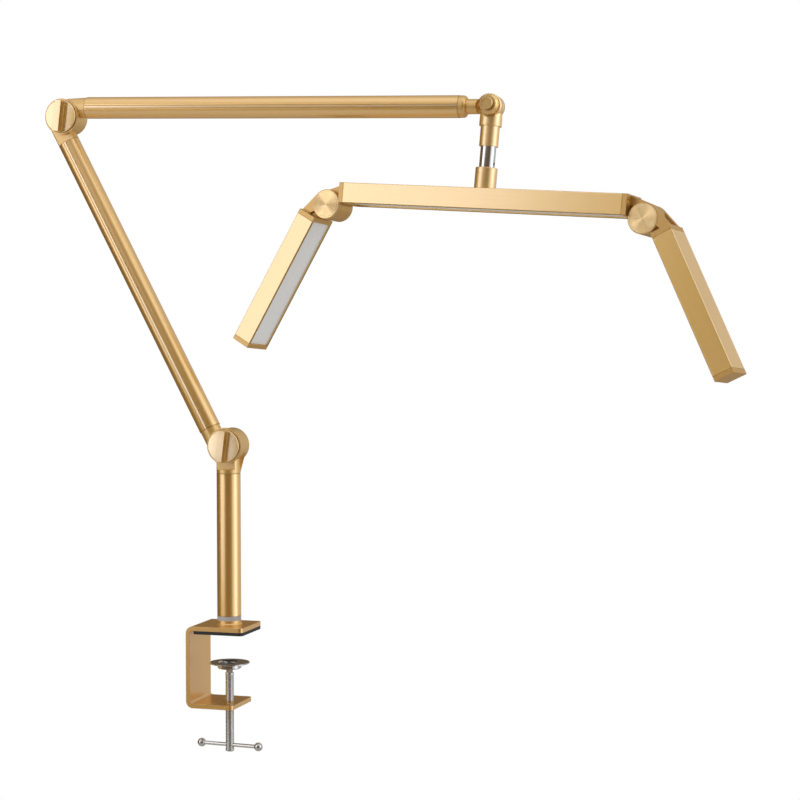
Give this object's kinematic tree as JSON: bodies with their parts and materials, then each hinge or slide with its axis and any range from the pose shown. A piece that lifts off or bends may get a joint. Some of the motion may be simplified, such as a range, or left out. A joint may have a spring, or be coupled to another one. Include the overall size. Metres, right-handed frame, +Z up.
{
  "type": "clamp-on folding lamp",
  "caption": "Desk-clamp lamp: short post, two tubular arms on ribbed-knob friction elbows, and a tilting, swivelling light bar whose wings fold flat beneath it.",
  "frame": {"origin": "centre of the rubber pad's underside on the post axis", "axes": "+Z up along the post, +X the way the clamp's throat opens, -Y the side of the elbow knobs"},
  "size_m": [0.6558, 0.1217, 0.6064],
  "materials": {
    "gold_strip": "champagne gold lacquer on bent steel strip, satin",
    "gold_tube": "champagne gold anodised tube, satin gloss",
    "gold_cast": "champagne gold die casting, fine matte",
    "gold_knob": "champagne gold, turned and brushed",
    "gold_panel": "pale champagne gold anodised extrusion, matte",
    "gold_disc": "pale champagne gold, spun face",
    "steel": "bright zinc-plated steel",
    "chrome": "polished chrome",
    "rubber": "black rubber, matte",
    "resin": "grey translucent resin",
    "frost": "frosted white acrylic",
    "board": "white-coated aluminium circuit board with LEDs"
  },
  "bodies": {
    "clamp": {"clamp_frame": "gold_strip", "jaw_pad": "rubber", "base_collar": "gold_cast", "base_stud": "steel", "swivel_washer": "resin", "stud_nut": "steel"},
    "dish": {"pressure_dish": "chrome"},
    "spindle": {"clamp_spindle": "chrome"},
    "tommy": {"tommy_bar": "chrome"},
    "post": {"post_tube": "gold_tube", "post_bush": "steel", "post_head": "gold_cast", "lower_washer": "resin", "lower_nut": "steel", "lower_rear_cap": "gold_cast"},
    "lower_knob": {"lower_knob": "gold_knob"},
    "lower_arm": {"lower_arm_foot": "gold_cast", "lower_arm_tube": "gold_tube", "lower_arm_head": "gold_cast", "upper_washer": "resin", "upper_nut": "steel", "upper_rear_cap": "gold_cast"},
    "upper_knob": {"upper_knob": "gold_knob"},
    "upper_arm": {"upper_arm_foot": "gold_cast", "upper_arm_tube": "gold_tube", "upper_arm_cap": "gold_cast"},
    "neck": {"tilt_neck": "gold_cast", "neck_ring": "steel", "tilt_nut": "steel"},
    "tilt_knob": {"tilt_knob": "gold_cast"},
    "stem": {"tilt_socket": "gold_cast", "stem_sleeve": "gold_cast"},
    "head": {"stem_shaft": "chrome", "stem_collar": "gold_cast", "bar_housing": "gold_panel", "bar_diffuser": "frost", "bar_led_board": "board", "left_bar_cap": "gold_cast", "right_bar_cap": "gold_cast"},
    "left_wing": {"left_wing_housing": "gold_panel", "left_wing_diffuser": "frost", "left_wing_led_board": "board", "left_wing_hinge_cap": "gold_cast", "left_wing_end_cap": "gold_cast", "left_hinge_pin": "steel", "left_disc_front": "gold_disc", "left_disc_rear": "gold_disc"},
    "right_wing": {"right_wing_housing": "gold_panel", "right_wing_diffuser": "frost", "right_wing_led_board": "board", "right_wing_hinge_cap": "gold_cast", "right_wing_end_cap": "gold_cast", "right_hinge_pin": "steel", "right_disc_front": "gold_disc", "right_disc_rear": "gold_disc"}
  },
  "joints": [
    {"name": "screw_turn", "type": "hinge", "parent": "dish", "child": "spindle", "pos_m": [0, 0, -0.08], "axis": [0, 0, 1], "range_deg": [-8352, 7488]},
    {"name": "clamp_travel", "type": "slide", "parent": "clamp", "child": "dish", "axis": [0, 0, 1], "range_m": [-0.029, 0.026]},
    {"name": "tommy_slide", "type": "slide", "parent": "spindle", "child": "tommy", "axis": [0.9969, -0.0785, 0], "range_m": [-0.0205, 0.0205]},
    {"name": "post_swivel", "type": "hinge", "parent": "clamp", "child": "post", "pos_m": [0, 0, 0.015], "axis": [0, 0, 1], "range_deg": [-180, 180]},
    {"name": "lower_elbow", "type": "hinge", "parent": "post", "child": "lower_arm", "pos_m": [0, 0, 0.172], "axis": [0, -1, 0], "range_deg": [-125, 26]},
    {"name": "lower_knob_turn", "type": "hinge", "parent": "lower_arm", "child": "lower_knob", "pos_m": [0, 0, 0.172], "axis": [0, -1, 0], "range_deg": [-90, 90]},
    {"name": "upper_elbow", "type": "hinge", "parent": "lower_arm", "child": "upper_arm", "pos_m": [-0.16117, 0, 0.47704], "axis": [0, 1, 0], "range_deg": [-125, 24]},
    {"name": "upper_knob_turn", "type": "hinge", "parent": "upper_arm", "child": "upper_knob", "pos_m": [-0.16117, 0, 0.47704], "axis": [0, -1, 0], "range_deg": [-90, 90]},
    {"name": "neck_swivel", "type": "hinge", "parent": "upper_arm", "child": "neck", "pos_m": [0.24991, 0, 0.474], "axis": [0.9996, 0, -0.0288], "range_deg": [-87, 93]},
    {"name": "head_tilt", "type": "hinge", "parent": "neck", "child": "stem", "pos_m": [0.24991, 0, 0.474], "axis": [0.0015, -0.9986, 0.0523], "range_deg": [-10, 95]},
    {"name": "tilt_knob_turn", "type": "hinge", "parent": "stem", "child": "tilt_knob", "pos_m": [0.24991, 0, 0.474], "axis": [0.0015, -0.9986, 0.0523], "range_deg": [-90, 90]},
    {"name": "head_swivel", "type": "hinge", "parent": "stem", "child": "head", "pos_m": [0.24991, 0, 0.474], "axis": [0.0775, 0.0523, 0.9956], "range_deg": [-154.5, 175.5]},
    {"name": "left_wing_fold", "type": "hinge", "parent": "head", "child": "left_wing", "pos_m": [0.09442, 0.02302, 0.39129], "axis": [-0.1802, -0.9814, 0.0656], "range_deg": [-64.1, 115.9]},
    {"name": "right_wing_fold", "type": "hinge", "parent": "head", "child": "right_wing", "pos_m": [0.39389, -0.03332, 0.37093], "axis": [0.1802, 0.9814, -0.0656], "range_deg": [-60.4, 119.6]}
  ],
  "couplings": [
    {"joint": "clamp_travel", "follows": "screw_turn", "m_per_rad": 0.00019894}
  ]
}
